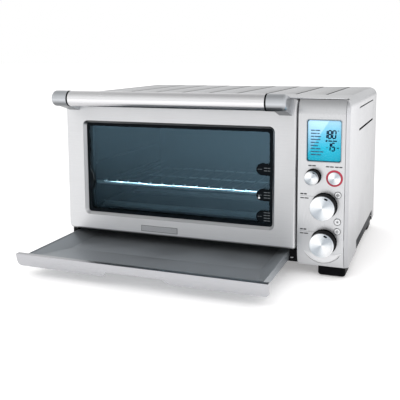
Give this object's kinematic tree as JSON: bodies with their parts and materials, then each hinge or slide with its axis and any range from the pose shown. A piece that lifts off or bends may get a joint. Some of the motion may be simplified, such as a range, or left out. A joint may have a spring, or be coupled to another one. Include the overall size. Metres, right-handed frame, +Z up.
{
  "type": "toaster oven",
  "caption": "Countertop convection toaster oven with a drop-down glass door and bar handle, side control panel with display and knobs, wire rack and drawn-out crumb tray.",
  "frame": {"origin": "on the worktop under the middle of the bounding box, with the crumb tray drawn out as it rests", "axes": "+Z up, front of the oven towards -Y, +X to the right as seen from the front"},
  "size_m": [0.47, 0.5074, 0.2773],
  "materials": {
    "brushed_steel": "fine brushed",
    "door_steel": "satin",
    "lip_steel": "satin",
    "handle_aluminium": "satin anodised",
    "cast_metal": "satin silver",
    "black_plastic": "moulded",
    "pad_rubber": "matte",
    "black_enamel": "satin black",
    "zinc_steel": "zinc plated",
    "cavity_coating": "grey non-stick coating",
    "fan_steel": "plain",
    "door_glass": "tempered",
    "dark_metal": "plain",
    "quartz": "clear quartz",
    "ceramic_cap": "unglazed",
    "tray_coating": "non-stick",
    "rack_chrome": "plated",
    "knob_metal": "spun",
    "red_ring": "translucent",
    "rim_chrome": "polished",
    "display_glass": "clear",
    "display_panel": "backlit",
    "circuit_board": "solder mask",
    "screw_steel": "zinc plated"
  },
  "bodies": {
    "oven": {"base_plate": "zinc_steel", "case_screws": "screw_steel", "control_board": "circuit_board", "control_fascia": "brushed_steel", "cord_gland": "black_plastic", "display_module": "display_panel", "display_rim": "rim_chrome", "display_window": "display_glass", "divider_panel": "zinc_steel", "element_holders": "ceramic_cap", "fan_cover": "fan_steel", "fan_housing": "zinc_steel", "fan_motor": "dark_metal", "foot_front_left": "black_plastic", "foot_front_right": "black_plastic", "foot_pads": "pad_rubber", "foot_rear_left": "black_plastic", "foot_rear_right": "black_plastic", "front_frame": "black_enamel", "heating_element_1": "quartz", "heating_element_2": "quartz", "heating_element_3": "quartz", "heating_element_4": "quartz", "heating_element_5": "quartz", "hinge_bracket_left": "zinc_steel", "hinge_bracket_right": "zinc_steel", "hinge_pins": "screw_steel", "knob_wells": "black_plastic", "outer_cover": "brushed_steel", "oven_cavity": "cavity_coating", "power_board": "circuit_board", "push_switches": "black_plastic", "rear_panel": "zinc_steel", "rear_spacers": "black_plastic", "rotary_encoders": "black_plastic", "start_light_ring": "red_ring", "tray_guide_left": "zinc_steel", "tray_guide_right": "zinc_steel"},
    "door": {"door_frame": "door_steel", "door_inner_frame": "black_enamel", "door_glass_outer": "door_glass", "door_glass_inner": "door_glass", "door_magnets": "dark_metal", "door_badge": "lip_steel", "handle_tube": "handle_aluminium", "handle_rings": "black_plastic", "handle_end_left": "cast_metal", "handle_end_right": "cast_metal", "hinge_plates": "zinc_steel"},
    "rack": {"wire_rack": "rack_chrome"},
    "tray": {"crumb_tray": "tray_coating", "tray_lip": "lip_steel"},
    "function_knob": {"function_knob": "knob_metal"},
    "temperature_knob": {"temperature_knob": "knob_metal"},
    "time_knob": {"time_knob": "knob_metal"},
    "start_button": {"start_button": "knob_metal"},
    "convection_key": {"convection_key": "knob_metal"},
    "frozen_key": {"frozen_key": "knob_metal"},
    "unit_key": {"unit_key": "knob_metal"},
    "fan": {"fan_impeller": "fan_steel"}
  },
  "joints": [
    {"name": "door_hinge", "type": "hinge", "parent": "oven", "child": "door", "pos_m": [-0.0385, -0.093, 0.05], "axis": [1, 0, 0], "range_deg": [0, 84], "stiffness_Nm_per_rad": 0.75, "springref_deg": -57.3},
    {"name": "rack_slide", "type": "slide", "parent": "oven", "child": "rack", "axis": [0, -1, 0], "range_m": [0, 0.112]},
    {"name": "tray_slide", "type": "slide", "parent": "oven", "child": "tray", "axis": [0, -1, 0], "range_m": [-0.151, 0.02]},
    {"name": "function_turn", "type": "hinge", "parent": "oven", "child": "function_knob", "pos_m": [0.1832, -0.102, 0.1543], "axis": [0, -1, 0], "continuous": true},
    {"name": "temperature_turn", "type": "hinge", "parent": "oven", "child": "temperature_knob", "pos_m": [0.2002, -0.102, 0.1118], "axis": [0, -1, 0], "continuous": true},
    {"name": "time_turn", "type": "hinge", "parent": "oven", "child": "time_knob", "pos_m": [0.2002, -0.102, 0.057], "axis": [0, -1, 0], "continuous": true},
    {"name": "start_press", "type": "slide", "parent": "oven", "child": "start_button", "axis": [0, 1, 0], "range_m": [0, 0.0015], "stiffness_N_per_m": 900, "springref_m": -0.0006},
    {"name": "convection_press", "type": "slide", "parent": "oven", "child": "convection_key", "axis": [0, 1, 0], "range_m": [0, 0.0006], "stiffness_N_per_m": 900, "springref_m": -0.0006},
    {"name": "frozen_press", "type": "slide", "parent": "oven", "child": "frozen_key", "axis": [0, 1, 0], "range_m": [0, 0.0006], "stiffness_N_per_m": 900, "springref_m": -0.0006},
    {"name": "unit_press", "type": "slide", "parent": "oven", "child": "unit_key", "axis": [0, 1, 0], "range_m": [0, 0.0006], "stiffness_N_per_m": 900, "springref_m": -0.0006},
    {"name": "fan_spin", "type": "hinge", "parent": "oven", "child": "fan", "pos_m": [0.143, 0.073, 0.147], "axis": [1, 0, 0], "continuous": true}
  ],
  "couplings": [
    {"joint": "rack_slide", "follows": "door_hinge", "m_per_rad": 0.075}
  ]
}
